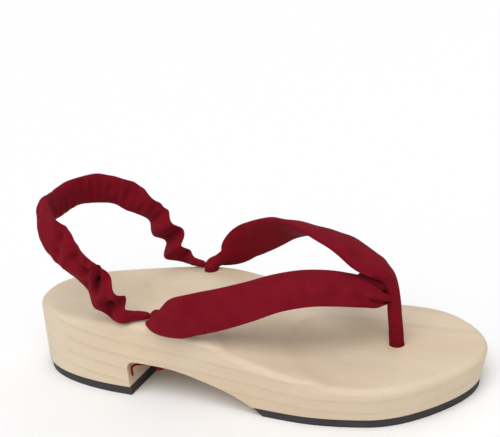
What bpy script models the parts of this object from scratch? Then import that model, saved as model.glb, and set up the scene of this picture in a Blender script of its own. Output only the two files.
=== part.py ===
"""Right-foot geta sandal: a one-piece wooden base on two rubber treads, a padded V strap and a back band.

Metres, +Z up. +X runs from heel to toe, +Y to the inner (big toe) side. The floor is at Z = 0, and the
origin is the middle of the heel's tread face. "Outer" is the little toe's side, at -Y.
"""

import math
from collections import namedtuple

import bmesh
import bpy
import numpy as np
from mathutils import Vector

# Wooden base
LENGTH = 0.240
BALL_WIDTH = 0.0955
FOOTBED_HEIGHT = 0.0422
TOE_SWING = 0.012
HEEL_CURVE_LENGTH = 0.0636
HEEL_CURVE_POWER = 2.2
TOE_CURVE_LENGTH = 0.0442
TOE_CURVE_POWER = 2.07
EDGE_RADIUS = 0.0034
HEEL_DRAFT = 0.0010
FOREFOOT_DRAFT = 0.0037
HEEL_BLOCK_LENGTH = 0.0664
ARCH_LENGTH = 0.0718
ARCH_HEIGHT = 0.0199
ARCH_CORNER_RADIUS = 0.0042
HEEL_CENTRE = HEEL_BLOCK_LENGTH / 2

# Rubber treads
HEEL_RUBBER = 0.0048
FOREFOOT_RUBBER = 0.0042
RUBBER_INSET = 0.0009
SEAM_GAP = 0.0003

# Strap holes: the rear ones ahead of the heel block and in from the base's edge, the front one back from
# the toe's end and to the inner side of the base's curved middle line
REAR_HOLE_AHEAD = 0.0186
REAR_HOLE_MARGIN = 0.0066
FRONT_HOLE_TO_TOE = 0.0430
FRONT_HOLE_INWARD = 0.0011
REAR_HOLE_BACK = HEEL_BLOCK_LENGTH + REAR_HOLE_AHEAD
FRONT_HOLE_BACK = LENGTH - FRONT_HOLE_TO_TOE
NECK_RADIUS = 0.0036
HOLE_RADIUS = NECK_RADIUS + SEAM_GAP
RECESS_RADIUS = 0.0100
RECESS_DEPTH = 0.0090

# Straps
STRAP_WIDTH = 0.0215
STRAP_THICKNESS = 0.0066
OUTER_RISE = 0.0360
INNER_RISE = 0.0495
BAND_WIDTH = 0.0160
BAND_THICKNESS = 0.0068
BAND_REACH = 0.0676
BAND_RISE = 0.0510
FOLD_DEPTH = 0.0058

# Knots
REAR_KNOT_LENGTH = 0.0112
REAR_KNOT_WIDTH = 0.0100
REAR_KNOT_HEIGHT = 0.0038
FRONT_KNOT_ROOM = 0.0014
FRONT_KNOT_HEIGHT = 0.0076
TAIL_WIDTH = 0.0026
TAIL_THICKNESS = 0.0016
TAIL_REACH = 0.0158
TAIL_SPREAD = 0.0030
TAIL_DROOP = 0.0048
FRONT_TAIL_SHARE = 0.6

# Fineness of the meshes
PLAN_STEPS = 44
EDGE_STEPS = 4
CORNER_STEPS = 6
ARCH_STEPS = 22
HOLE_SIDES = 24
STRAP_SIDES = 18
OUTER_ARM_STEPS = 48
INNER_ARM_STEPS = 38
NECK_STEPS = 12
NECK_SIDES = 14
BAND_SIDES = 12
BAND_STEPS = 164
KNOT_SIDES = 16
KNOT_RINGS = 10
TAIL_SIDES = 8
TAIL_STEPS = 8

OUTER = -1
INNER = 1

# The base's half widths along its length, in ball widths
Plan = namedtuple("Plan", "share outer inner")
PLAN = (
    Plan(0.00, 0.376, 0.376),
    Plan(0.16, 0.376, 0.376),
    Plan(0.38, 0.408, 0.408),
    Plan(0.56, 0.464, 0.443),
    Plan(0.72, 0.508, 0.492),
    Plan(0.88, 0.467, 0.469),
    Plan(1.00, 0.374, 0.375),
)

# The footbed's height along the base's length, in footbed heights
Top = namedtuple("Top", "share height")
TOP = (
    Top(0.00, 0.920),
    Top(0.10, 0.915),
    Top(0.20, 0.938),
    Top(0.27, 0.972),
    Top(0.34, 1.000),
    Top(0.40, 0.985),
    Top(0.48, 0.893),
    Top(0.56, 0.766),
    Top(0.64, 0.663),
    Top(0.74, 0.570),
    Top(0.84, 0.524),
    Top(1.00, 0.500),
)

# The waist's underside, from the heel's front face: lengths in arch lengths, heights in arch heights
Arch = namedtuple("Arch", "share height")
ARCH = (
    Arch(0.00, 1.000),
    Arch(0.20, 0.995),
    Arch(0.36, 0.955),
    Arch(0.50, 0.865),
    Arch(0.64, 0.730),
    Arch(0.78, 0.570),
    Arch(0.90, 0.375),
    Arch(1.00, 0.140),
    Arch(1.09, -0.120),
)

# A strap arm from its tip, just behind its rear hole (along 0), to the post (along 1). Out is in ball widths
# beside the straight line between the holes, rise in that arm's rise above the footbed, wide and thick in
# strap widths and thicknesses. Lean and turn aim the strap's face: lean up from level, turn from sideways
# towards the toe.
Arm = namedtuple("Arm", "along out rise wide thick lean turn")
OUTER_ARM = (
    Arm(-0.018, 0.066, 0.045, 0.15, 0.50, 50, 0),
    Arm(0.006, 0.080, 0.070, 0.38, 0.85, 46, 0),
    Arm(0.051, 0.112, 0.110, 0.66, 1.05, 38, 0),
    Arm(0.135, 0.166, 0.228, 0.97, 1.00, 18, 0),
    Arm(0.234, 0.190, 0.370, 1.02, 1.00, 12, 0),
    Arm(0.348, 0.200, 0.545, 0.96, 0.98, 24, 2),
    Arm(0.472, 0.200, 0.750, 0.92, 0.96, 36, 5),
    Arm(0.586, 0.196, 0.925, 0.92, 0.96, 46, 9),
    Arm(0.689, 0.162, 0.992, 0.95, 0.96, 52, 14),
    Arm(0.793, 0.104, 0.952, 0.95, 0.96, 56, 20),
    Arm(0.886, 0.054, 0.880, 0.76, 1.00, 60, 30),
    Arm(0.959, 0.018, 0.800, 0.50, 1.10, 52, 55),
)
INNER_ARM = (
    Arm(-0.018, 0.066, 0.033, 0.15, 0.50, 50, 0),
    Arm(0.006, 0.080, 0.051, 0.38, 0.85, 46, 0),
    Arm(0.051, 0.112, 0.086, 0.66, 1.05, 38, 0),
    Arm(0.161, 0.138, 0.310, 0.97, 1.00, 18, 0),
    Arm(0.275, 0.138, 0.505, 1.00, 1.00, 22, 0),
    Arm(0.399, 0.116, 0.720, 0.94, 0.98, 36, 0),
    Arm(0.503, 0.090, 0.840, 0.92, 0.96, 52, 0),
    Arm(0.606, 0.056, 0.912, 0.92, 0.96, 66, 10),
    Arm(0.710, 0.022, 0.950, 0.96, 0.96, 76, 36),
    Arm(0.800, 0.000, 0.918, 1.02, 1.00, 76, 80),
    Arm(0.875, -0.004, 0.856, 0.96, 1.02, 68, 104),
    Arm(0.930, -0.002, 0.798, 0.80, 1.08, 58, 100),
    Arm(0.971, 0.002, 0.735, 0.52, 1.10, 40, 80),
)
# Where the post is round, below the V, and where the inner arm's end stops inside it: in the outer arm's rise
POST_TOP = 0.645
POST_LOW = 0.450

# Half of the back band, from its root behind a strap's neck (back 0) to the middle behind the ankle (back 1).
# Back is in band reaches, out in ball widths from the middle line, rise in band rises above the footbed.
Band = namedtuple("Band", "back out rise wide thick lean")
BAND = (
    Band(0.000, 0.336, 0.056, 0.32, 0.52, 0),
    Band(0.120, 0.358, 0.060, 0.35, 0.54, 2),
    Band(0.186, 0.374, 0.076, 0.48, 0.60, 6),
    Band(0.252, 0.384, 0.145, 0.80, 0.68, 8),
    Band(0.308, 0.390, 0.285, 0.98, 0.76, 8),
    Band(0.374, 0.395, 0.450, 1.00, 0.84, 8),
    Band(0.468, 0.398, 0.625, 1.00, 0.92, 8),
    Band(0.624, 0.370, 0.820, 1.02, 0.97, 8),
    Band(0.817, 0.298, 0.955, 1.03, 1.00, 8),
    Band(0.944, 0.178, 0.995, 1.04, 1.00, 8),
    Band(1.000, 0.000, 0.970, 1.05, 1.00, 8),
)

# The band's folds on each side, from its root (share 0) to the middle behind the ankle (share 1): how far its
# upper and its lower edge stand out, or in where negative, in fold depths
Fold = namedtuple("Fold", "share upper lower")
OUTER_FOLDS = (
    Fold(0.000, 0.00, 0.00),
    Fold(0.094, 0.08, 0.17),
    Fold(0.137, 0.26, 0.26),
    Fold(0.187, -0.95, -0.70),
    Fold(0.248, 0.90, 0.35),
    Fold(0.322, -0.32, -0.60),
    Fold(0.383, 0.08, -0.50),
    Fold(0.445, 0.50, 0.00),
    Fold(0.514, 0.10, 0.45),
    Fold(0.586, -0.40, 0.55),
    Fold(0.672, -0.20, 0.40),
    Fold(0.769, -0.35, 0.20),
    Fold(0.865, 0.08, 0.00),
    Fold(0.930, -0.06, 0.08),
    Fold(1.000, 0.00, 0.00),
)
INNER_FOLDS = (
    Fold(0.000, 0.00, 0.00),
    Fold(0.094, 0.08, 0.17),
    Fold(0.148, 0.30, 0.26),
    Fold(0.202, -0.78, -0.86),
    Fold(0.264, 0.52, 0.78),
    Fold(0.325, -0.50, -0.22),
    Fold(0.399, 0.26, 0.43),
    Fold(0.476, -0.34, 0.08),
    Fold(0.553, 0.26, -0.26),
    Fold(0.634, -0.14, 0.20),
    Fold(0.721, 0.17, -0.07),
    Fold(0.827, -0.09, 0.12),
    Fold(0.923, 0.09, -0.05),
    Fold(1.000, 0.00, 0.00),
)

# A knot's loose end: how far it has drooped, in tail droops, along its reach from the knot
Tail = namedtuple("Tail", "share drop")
TAIL = (
    Tail(0.00, 0.00),
    Tail(0.45, 0.00),
    Tail(0.82, 0.14),
    Tail(1.00, 1.00),
)

Section = namedtuple("Section", "place wide thick face")


def through(knots, values, at):
    """The smooth curve that passes through the values at their knots, read at one place."""
    knots = np.asarray(knots, float)
    values = np.asarray(values, float).T
    steps = np.diff(knots)
    slopes = np.diff(values) / steps
    inner = (slopes[..., :-1] * steps[1:] + slopes[..., 1:] * steps[:-1]) / (steps[1:] + steps[:-1])
    tangents = np.concatenate([slopes[..., :1], inner, slopes[..., -1:]], axis=-1)
    low = int(np.clip(np.searchsorted(knots, at) - 1, 0, len(steps) - 1))
    high = low + 1
    t = (at - knots[low]) / steps[low]
    ease = t * t * (3 - 2 * t)
    start = tangents[..., low] * steps[low] * t * (1 - t) ** 2
    end = tangents[..., high] * steps[low] * t * t * (t - 1)
    return values[..., low] * (1 - ease) + values[..., high] * ease + start + end


def column(rows, name, share):
    """One column of a table, read between its rows."""
    return float(through([row[0] for row in rows], [getattr(row, name) for row in rows], share))


def mix(start, end, share):
    return start + (end - start) * share


# Base and treads

def round_end(reach, power):
    """The share of the full width at a distance from a rounded end, where 1 is the end of the rounding."""
    if reach >= 1:
        return 1.0
    return (1 - (1 - max(reach, 0.0)) ** power) ** (1 / power)


def middle_line(share):
    """How far the base's middle line swings to the inner side, ahead of the waist."""
    return TOE_SWING * max(0.0, 2 * share - 1) ** 2


def plan_point(share, side):
    """A point of the base's outline, seen from above."""
    width = BALL_WIDTH * column(PLAN, "outer" if side == OUTER else "inner", share)
    width *= round_end(share * LENGTH / HEEL_CURVE_LENGTH, HEEL_CURVE_POWER)
    width *= round_end((1 - share) * LENGTH / TOE_CURVE_LENGTH, TOE_CURVE_POWER)
    return Vector((share * LENGTH - HEEL_CENTRE, middle_line(share) + side * width))


def footbed_height(x):
    share = min(1.0, max(0.0, (x + HEEL_CENTRE) / LENGTH))
    return FOOTBED_HEIGHT * column(TOP, "height", share)


def arch_share(x):
    return (x + HEEL_CENTRE - HEEL_BLOCK_LENGTH) / ARCH_LENGTH


def stations(first, last):
    """Shares of the length, closer together towards the rounded heel and toe."""
    every = [(1 - math.cos(math.pi * step / PLAN_STEPS)) / 2 for step in range(PLAN_STEPS + 1)]
    return [first] + [share for share in every if first < share < last] + [last]


def inset_pair(share, inset):
    """The outer and inner outline points at one station, moved inwards along the outline's normal."""
    small = 1e-4
    pair = []
    for side in (OUTER, INNER):
        here = plan_point(share, side)
        back = plan_point(max(0.0, share - small), side)
        front = plan_point(min(1.0, share + small), side)
        along = (front - back).normalized()
        if share == 0:
            normal = Vector((1, 0))
        elif share == 1:
            normal = Vector((-1, 0))
        else:
            normal = Vector((along.y, -along.x)) * side
        pair.append(here + normal * inset)
    return pair


def ring(shares, inset_at, height_at):
    """One level of the base or a tread: an outer and an inner point at each station."""
    pairs = []
    for share in shares:
        points = inset_pair(share, inset_at(share))
        pairs.append([Vector((point.x, point.y, height_at(point.x))) for point in points])
    return pairs


def lofted_mesh(name, rings):
    """A closed body through rings of outer and inner points, bottom ring first."""
    mesh = bmesh.new()
    levels = [[[mesh.verts.new(point) for point in pair] for pair in level] for level in rings]
    count = len(levels[0])
    for low, high in zip(levels, levels[1:]):
        for i in range(count - 1):
            for side in (0, 1):
                mesh.faces.new((low[i][side], low[i + 1][side], high[i + 1][side], high[i][side]))
        for end in (0, count - 1):
            mesh.faces.new((low[end][0], low[end][1], high[end][1], high[end][0]))
    for level in (levels[0], levels[-1]):
        for i in range(count - 1):
            mesh.faces.new((level[i][0], level[i + 1][0], level[i + 1][1], level[i][1]))
    bmesh.ops.remove_doubles(mesh, verts=mesh.verts, dist=1e-6)
    return finished_mesh(name, mesh)


def finished_mesh(name, mesh):
    bmesh.ops.recalc_face_normals(mesh, faces=mesh.faces)
    data = bpy.data.meshes.new(name)
    mesh.to_mesh(data)
    mesh.free()
    data.shade_smooth()
    data.set_sharp_from_angle(angle=math.radians(35))
    return data


def draft_at(share):
    """How far the side leans in at its bottom: little at the heel, more round the forefoot."""
    blend = min(1.0, max(0.0, arch_share(share * LENGTH - HEEL_CENTRE)))
    return mix(HEEL_DRAFT, FOREFOOT_DRAFT, blend * blend * (3 - 2 * blend))


def wood_bottom(x):
    tread = HEEL_RUBBER if arch_share(x) < 0.5 else FOREFOOT_RUBBER
    return tread + SEAM_GAP


def base_mesh():
    shares = stations(0.0, 1.0)
    rings = [ring(shares, draft_at, wood_bottom)]
    for step in range(EDGE_STEPS + 1):
        angle = math.pi / 2 * step / EDGE_STEPS
        inset = EDGE_RADIUS * (1 - math.cos(angle))
        drop = EDGE_RADIUS * (1 - math.sin(angle))
        rings.append(ring(shares, lambda share: inset, lambda x: footbed_height(x) - drop))
    return lofted_mesh("wooden_base", rings)


def tread_mesh(name, first, last, thickness):
    shares = stations(first, last)
    rings = []
    for level in (0, thickness):
        rings.append(ring(shares, lambda share: draft_at(share) + RUBBER_INSET, lambda x: level))
    return lofted_mesh(name, rings)


def arch_profile():
    """The side view of what is sawn out between heel and forefoot."""
    front = HEEL_BLOCK_LENGTH - HEEL_CENTRE
    below = -0.2 * ARCH_HEIGHT
    profile = [(front, below)]
    for step in range(CORNER_STEPS + 1):
        angle = math.pi / 2 * step / CORNER_STEPS
        x = front + ARCH_CORNER_RADIUS * (1 - math.cos(angle))
        z = ARCH_HEIGHT - ARCH_CORNER_RADIUS * (1 - math.sin(angle))
        profile.append((x, z))
    first = ARCH_CORNER_RADIUS / ARCH_LENGTH
    for step in range(1, ARCH_STEPS + 1):
        share = mix(first, ARCH[-1].share, step / ARCH_STEPS)
        profile.append((front + share * ARCH_LENGTH, ARCH_HEIGHT * column(ARCH, "height", share)))
    profile.append((profile[-1][0] + ARCH_CORNER_RADIUS / 4, below))
    return profile


def arch_cutter():
    mesh = bmesh.new()
    corners = [mesh.verts.new((x, -BALL_WIDTH, z)) for x, z in arch_profile()]
    face = mesh.faces.new(corners)
    moved = bmesh.ops.extrude_face_region(mesh, geom=[face])["geom"]
    verts = [item for item in moved if isinstance(item, bmesh.types.BMVert)]
    bmesh.ops.translate(mesh, verts=verts, vec=(0, 2 * BALL_WIDTH, 0))
    return cutter("arch_cutter", finished_mesh("arch_cutter", mesh))


def round_cutter(name, x, y, low, high, radius):
    mesh = bmesh.new()
    bmesh.ops.create_cone(
        mesh, cap_ends=True, segments=HOLE_SIDES, radius1=radius, radius2=radius, depth=high - low
    )
    bmesh.ops.translate(mesh, verts=mesh.verts, vec=(x, y, (low + high) / 2))
    return cutter(name, finished_mesh(name, mesh))


def hole_place(front, side):
    """The middle of a strap hole, seen from above."""
    if front:
        y = middle_line(FRONT_HOLE_BACK / LENGTH) + FRONT_HOLE_INWARD
        return Vector((FRONT_HOLE_BACK - HEEL_CENTRE, y))
    edge = plan_point(REAR_HOLE_BACK / LENGTH, side)
    return Vector((edge.x, edge.y - side * REAR_HOLE_MARGIN))


def recess_roof():
    return FOREFOOT_RUBBER + SEAM_GAP + RECESS_DEPTH


def arch_roof(x):
    return ARCH_HEIGHT * column(ARCH, "height", arch_share(x))


# Straps

def face_vector(side, lean, turn):
    """The way a strap's outer face looks, from its lean above level and its turn towards the toe."""
    lean, turn = math.radians(lean), math.radians(turn)
    return Vector((math.cos(lean) * math.sin(turn), side * math.cos(lean) * math.cos(turn), math.sin(lean)))


def swept_mesh(name, sections, steps, sides, fold=None):
    """A closed tube of oval sections on the smooth curve through the sections' places."""
    spans = [(b.place - a.place).length for a, b in zip(sections, sections[1:])]
    knots = np.concatenate([[0], np.cumsum(spans)])
    values = [[*row.place, row.wide, row.thick, *row.face] for row in sections]
    mesh = bmesh.new()
    rings = []
    reach = knots[-1]
    for step in range(steps + 1):
        at = reach * step / steps
        row = through(knots, values, at)
        ahead = through(knots, values, min(reach, at + reach / 500))
        behind = through(knots, values, max(0, at - reach / 500))
        along = Vector(ahead[:3] - behind[:3]).normalized()
        face = Vector(row[5:8])
        face = (face - along * face.dot(along)).normalized()
        across = along.cross(face)
        place = Vector(row[:3])
        wide, thick = row[3] / 2, row[4] / 2
        loop = []
        for side in range(sides):
            angle = 2 * math.pi * side / sides
            offset = across * (wide * math.cos(angle)) + face * (thick * math.sin(angle))
            if fold:
                offset += face * fold(step / steps, math.cos(angle))
            loop.append(mesh.verts.new(place + offset))
        rings.append(loop)
    for low, high in zip(rings, rings[1:]):
        for side in range(sides):
            nxt = (side + 1) % sides
            mesh.faces.new((low[side], low[nxt], high[nxt], high[side]))
    mesh.faces.new(rings[0])
    mesh.faces.new(rings[-1])
    return finished_mesh(name, mesh)


def neck_sections(side, end):
    """The round neck in a rear hole, from just above its knot up through the hole and into the arm."""
    middle = hole_place(False, side)
    top = footbed_height(middle.x)
    bottom = arch_roof(middle.x)
    heights = (bottom, mix(bottom, top, 0.5), top - NECK_RADIUS / 2, top + NECK_RADIUS / 2)
    places = [Vector((middle.x, middle.y, z)) for z in heights] + [end]
    sizes = [2 * NECK_RADIUS] * len(heights) + [1.5 * NECK_RADIUS]
    return [Section(place, size, size, Vector((1, 0, 0))) for place, size in zip(places, sizes)]


def arm_sections(rows, rise, side):
    rear = hole_place(False, side)
    front = hole_place(True, side)
    sections = []
    for row in rows:
        line = mix(rear, front, row.along)
        height = footbed_height(line.x) + rise * row.rise
        place = Vector((line.x, line.y + side * row.out * BALL_WIDTH, height))
        face = face_vector(side, row.lean, row.turn)
        sections.append(Section(place, STRAP_WIDTH * row.wide, STRAP_THICKNESS * row.thick, face))
    return sections


def post_sections(size, low_end):
    """The toe post, from under the V down to low_end."""
    middle = hole_place(True, OUTER)
    top = footbed_height(middle.x)
    face = Vector((1, 0, 0))
    heights = [top + OUTER_RISE * POST_TOP, top + OUTER_RISE * POST_LOW]
    if low_end < top:
        heights += [top + NECK_RADIUS, top - NECK_RADIUS, low_end]
    return [Section(Vector((middle.x, middle.y, z)), size, size, face) for z in heights]


def strap_meshes():
    """The outer arm with the toe post, and what is joined to it: the inner arm and the two necks."""
    post = post_sections(2 * NECK_RADIUS, recess_roof())
    outer = arm_sections(OUTER_ARM, OUTER_RISE, OUTER)
    inner = arm_sections(INNER_ARM, INNER_RISE, INNER)
    inner_post = post_sections(1.5 * NECK_RADIUS, post[1].place.z)
    return (
        swept_mesh("v_strap", outer + post, OUTER_ARM_STEPS, STRAP_SIDES),
        swept_mesh("inner_arm", inner + inner_post, INNER_ARM_STEPS, STRAP_SIDES),
        swept_mesh("outer_neck", neck_sections(OUTER, outer[2].place), NECK_STEPS, NECK_SIDES),
        swept_mesh("inner_neck", neck_sections(INNER, inner[2].place), NECK_STEPS, NECK_SIDES),
    )


def band_sections():
    root_x = REAR_HOLE_BACK - HEEL_CENTRE - HOLE_RADIUS - SEAM_GAP
    half = []
    for side in (OUTER, INNER):
        rows = []
        for row in BAND:
            x = root_x - row.back * BAND_REACH
            height = footbed_height(x) + SEAM_GAP + row.rise * BAND_RISE
            place = Vector((x, side * row.out * BALL_WIDTH, height))
            back_share = min(1.0, max(0.0, (row.back - 0.5) * 2))
            turn = -90 * back_share
            face = face_vector(side, row.lean, turn)
            rows.append(Section(place, BAND_WIDTH * row.wide, BAND_THICKNESS * row.thick, face))
        half.append(rows)
    return half[0] + half[1][-2::-1]


def band_fold(share, across):
    """How far the folds move the band outwards, across its width from -1 at its lower edge to 1."""
    rows = OUTER_FOLDS if share < 0.5 else INNER_FOLDS
    reach = 2 * min(share, 1 - share)
    lower = column(rows, "lower", reach)
    upper = column(rows, "upper", reach)
    return FOLD_DEPTH * mix(lower, upper, (1 + across) / 2)


# Knots

def knot_mesh(name, middle, length, width, height):
    """A knot pulled tight: a flattened ball."""
    mesh = bmesh.new()
    bmesh.ops.create_uvsphere(mesh, u_segments=KNOT_SIDES, v_segments=KNOT_RINGS, radius=0.5)
    for vert in mesh.verts:
        vert.co = Vector((vert.co.x * length, vert.co.y * width, vert.co.z * height)) + middle
    return finished_mesh(name, mesh)


def tail_mesh(name, start, reach):
    """A flat cord end that leaves a knot level and then droops."""
    rows = []
    for row in TAIL:
        place = start + reach * row.share - Vector((0, 0, TAIL_DROOP * row.drop))
        rows.append(Section(place, TAIL_WIDTH, TAIL_THICKNESS, Vector((0, 0, 1))))
    return swept_mesh(name, rows, TAIL_STEPS, TAIL_SIDES)


# Objects and materials

def clear_scene():
    for item in list(bpy.data.objects):
        bpy.data.objects.remove(item, do_unlink=True)


def linear(*colour):
    """A colour read as 0 to 255 in sRGB, as the shader's linear values."""
    return [((value / 255 + 0.055) / 1.055) ** 2.4 for value in colour] + [1.0]


def material(name, colour, roughness):
    made = bpy.data.materials.new(name)
    made.use_nodes = True
    shader = made.node_tree.nodes["Principled BSDF"]
    shader.inputs["Base Color"].default_value = colour
    shader.inputs["Roughness"].default_value = roughness
    shader.inputs["Metallic"].default_value = 0.0
    made.diffuse_color = colour
    return made


def piece(name, data, finish):
    made = bpy.data.objects.new(name, data)
    bpy.context.scene.collection.objects.link(made)
    made.data.materials.append(finish)
    return made


def cutter(name, data):
    made = bpy.data.objects.new(name, data)
    bpy.context.scene.collection.objects.link(made)
    made.hide_render = True
    made.display_type = "WIRE"
    return made


def combine(target, other, operation):
    modifier = target.modifiers.new(f"{operation} {other.name}".lower(), "BOOLEAN")
    modifier.operation = operation
    modifier.solver = "EXACT"
    modifier.object = other


def build_base(wood, rubber):
    base = piece("wooden_base", base_mesh(), wood)
    arch_end = (HEEL_BLOCK_LENGTH + ARCH_LENGTH / 2) / LENGTH
    heel_mesh = tread_mesh("heel_rubber", 0.0, arch_end, HEEL_RUBBER)
    fore_mesh = tread_mesh("forefoot_rubber", arch_end, 1.0, FOREFOOT_RUBBER)
    heel_tread = piece("heel_rubber", heel_mesh, rubber)
    fore_tread = piece("forefoot_rubber", fore_mesh, rubber)
    arch = arch_cutter()
    for target in (base, heel_tread, fore_tread):
        combine(target, arch, "DIFFERENCE")
    above = 1.2 * FOOTBED_HEIGHT
    for name, side in (("outer_hole", OUTER), ("inner_hole", INNER)):
        middle = hole_place(False, side)
        combine(base, round_cutter(name, middle.x, middle.y, 0, above, HOLE_RADIUS), "DIFFERENCE")
    middle = hole_place(True, OUTER)
    combine(base, round_cutter("front_hole", middle.x, middle.y, -SEAM_GAP, above, HOLE_RADIUS), "DIFFERENCE")
    recess = round_cutter("recess", middle.x, middle.y, -RECESS_DEPTH, recess_roof(), RECESS_RADIUS)
    combine(base, recess, "DIFFERENCE")
    combine(fore_tread, recess, "DIFFERENCE")


def build_straps(crepe):
    outer_arm, *joined = strap_meshes()
    strap = piece("v_strap", outer_arm, crepe)
    for data in joined:
        combine(strap, cutter(data.name, data), "UNION")
    band = swept_mesh("back_band", band_sections(), BAND_STEPS, BAND_SIDES, band_fold)
    piece("back_band", band, crepe)


def build_knots(crepe):
    for name, side in (("outer_rear_knot", OUTER), ("inner_rear_knot", INNER)):
        hole = hole_place(False, side)
        middle = Vector((hole.x, hole.y, arch_roof(hole.x) - SEAM_GAP - REAR_KNOT_HEIGHT / 2))
        data = knot_mesh(name, middle, REAR_KNOT_LENGTH, REAR_KNOT_WIDTH, REAR_KNOT_HEIGHT)
        knot = piece(name, data, crepe)
        back = Vector((-TAIL_REACH, side * TAIL_SPREAD, 0))
        front = Vector((TAIL_REACH * FRONT_TAIL_SHARE, -2 * side * TAIL_SPREAD, 0))
        for label, reach in (("back", back), ("front", front)):
            tail = cutter(f"{name}_{label}_tail", tail_mesh(f"{label}_tail", middle, reach))
            combine(knot, tail, "UNION")
    hole = hole_place(True, OUTER)
    across = 2 * (RECESS_RADIUS - FRONT_KNOT_ROOM)
    middle = Vector((hole.x, hole.y, recess_roof() - SEAM_GAP - FRONT_KNOT_HEIGHT / 2))
    piece("front_knot", knot_mesh("front_knot", middle, across, across, FRONT_KNOT_HEIGHT), crepe)


def main():
    clear_scene()
    wood = material("pale_wood", linear(222, 200, 170), 0.55)
    rubber = material("black_rubber", linear(42, 38, 40), 0.70)
    crepe = material("crimson_crepe", linear(124, 22, 38), 0.85)
    build_base(wood, rubber)
    build_straps(crepe)
    build_knots(crepe)


main()
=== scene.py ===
"""Looks of the right-foot geta sandal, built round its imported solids.

Metres, +Z up, +X from heel to toe, +Y to the inner (big toe) side, the floor at Z = 0. "Outer" is the
little toe's side, which faces the camera. Every piece here stands for one solid and keeps its place.
"""

import math
from collections import namedtuple

import bmesh
import bpy
import numpy as np
from mathutils import Matrix, Vector


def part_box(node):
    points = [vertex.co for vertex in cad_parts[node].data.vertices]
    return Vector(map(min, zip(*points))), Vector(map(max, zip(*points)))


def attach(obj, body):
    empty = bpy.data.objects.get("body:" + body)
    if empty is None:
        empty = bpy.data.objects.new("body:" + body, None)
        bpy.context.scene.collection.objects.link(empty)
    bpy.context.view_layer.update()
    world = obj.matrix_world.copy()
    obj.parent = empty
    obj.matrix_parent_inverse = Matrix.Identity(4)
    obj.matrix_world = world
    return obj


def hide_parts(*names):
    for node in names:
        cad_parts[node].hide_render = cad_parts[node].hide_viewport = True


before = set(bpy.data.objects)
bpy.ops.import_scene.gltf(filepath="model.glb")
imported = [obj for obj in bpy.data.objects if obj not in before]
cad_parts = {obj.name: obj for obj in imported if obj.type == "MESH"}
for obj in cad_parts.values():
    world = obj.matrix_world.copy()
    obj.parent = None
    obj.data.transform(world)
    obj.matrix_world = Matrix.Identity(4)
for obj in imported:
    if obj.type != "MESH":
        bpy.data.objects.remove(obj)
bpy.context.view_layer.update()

OUTER = -1
INNER = 1

# Wooden base
BASE_LOW, BASE_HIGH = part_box("wooden_base")
LENGTH = BASE_HIGH.x - BASE_LOW.x
HEEL_CENTRE = -BASE_LOW.x
HEEL_BLOCK_LENGTH = 2 * HEEL_CENTRE
BALL_WIDTH = 0.0955
FOOTBED_HEIGHT = 0.0422
TOE_SWING = 0.012
HEEL_CURVE_LENGTH = 0.0636
HEEL_CURVE_POWER = 2.2
TOE_CURVE_LENGTH = 0.0442
TOE_CURVE_POWER = 2.07
EDGE_RADIUS = 0.0034
HEEL_DRAFT = -0.0004
FOREFOOT_DRAFT = 0.0037
ARCH_LENGTH = 0.0718
ARCH_HEIGHT = 0.0199
ARCH_CORNER_RADIUS = 0.0042
SAWN_EDGE = 0.0006
CUTTER_TOP = 1.3 * FOOTBED_HEIGHT

# Rubber treads
HEEL_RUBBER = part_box("heel_rubber")[1].z
FOREFOOT_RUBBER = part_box("forefoot_rubber")[1].z
RUBBER_INSET = 0.0009
RUBBER_EDGE = 0.0004
SEAM_GAP = 0.0003

# Strap holes
REAR_HOLE_AHEAD = 0.0186
REAR_HOLE_MARGIN = 0.0066
FRONT_HOLE_TO_TOE = 0.0430
FRONT_HOLE_INWARD = 0.0011
REAR_HOLE_BACK = HEEL_BLOCK_LENGTH + REAR_HOLE_AHEAD
FRONT_HOLE_BACK = LENGTH - FRONT_HOLE_TO_TOE
NECK_RADIUS = 0.0036
HOLE_RADIUS = NECK_RADIUS + SEAM_GAP
RECESS_RADIUS = 0.0100
RECESS_DEPTH = 0.0090

# Straps
STRAP_WIDTH = 0.0215
STRAP_THICKNESS = 0.0066
OUTER_RISE = 0.0360
INNER_RISE = 0.0495
BAND_WIDTH = 0.0160
BAND_THICKNESS = 0.0068
BAND_REACH = 0.0676
BAND_RISE = 0.0510
FOLD_DEPTH = 0.0058
WEB_THICKNESS = 0.0040

# Softness of the straps: the size of the padding's and the gathers' waves, their heights as shares of the
# thickness, how far they may slant, and the share of the band's length over which its gathers fade in
PADDING_WAVE = 0.0200
PADDING_HEIGHT = 0.035
PADDING_SLANT = 0.8
INSIDE_GATHER = 0.0070
INSIDE_SLANT = 0.7
OUTSIDE_GATHER = 0.0110
OUTSIDE_SLANT = 1.4
GATHER_HEIGHT = 0.065
GATHER_FADE = 0.10

# Knots and their loose cord ends
REAR_KNOT_SIZE = (0.0112, 0.0100, 0.0038)
FRONT_KNOT_SIZE = (0.0172, 0.0172, 0.0076)
KNOT_CORD = 0.3
TAIL_WIDTH = 0.0013
TAIL_THICKNESS = 0.0011
TAIL_REACH = 0.0170
TAIL_SPREAD = 0.0038
TAIL_DROOP = 0.0062
FRONT_TAIL_REACH = 0.6 * TAIL_REACH
FRONT_TAIL_SPREAD = 1.5 * TAIL_SPREAD

# Wood: its growth rings' centre line runs below and to the outer side of the sandal's origin and falls
# towards the toe by a tilt in degrees, and the rings wander by up to about their warp
RINGS_BELOW = 0.13
RINGS_ASIDE = 0.012
RINGS_PER_METRE = 140.0
RING_WARP = 0.010
RING_TILT = -3

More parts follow.
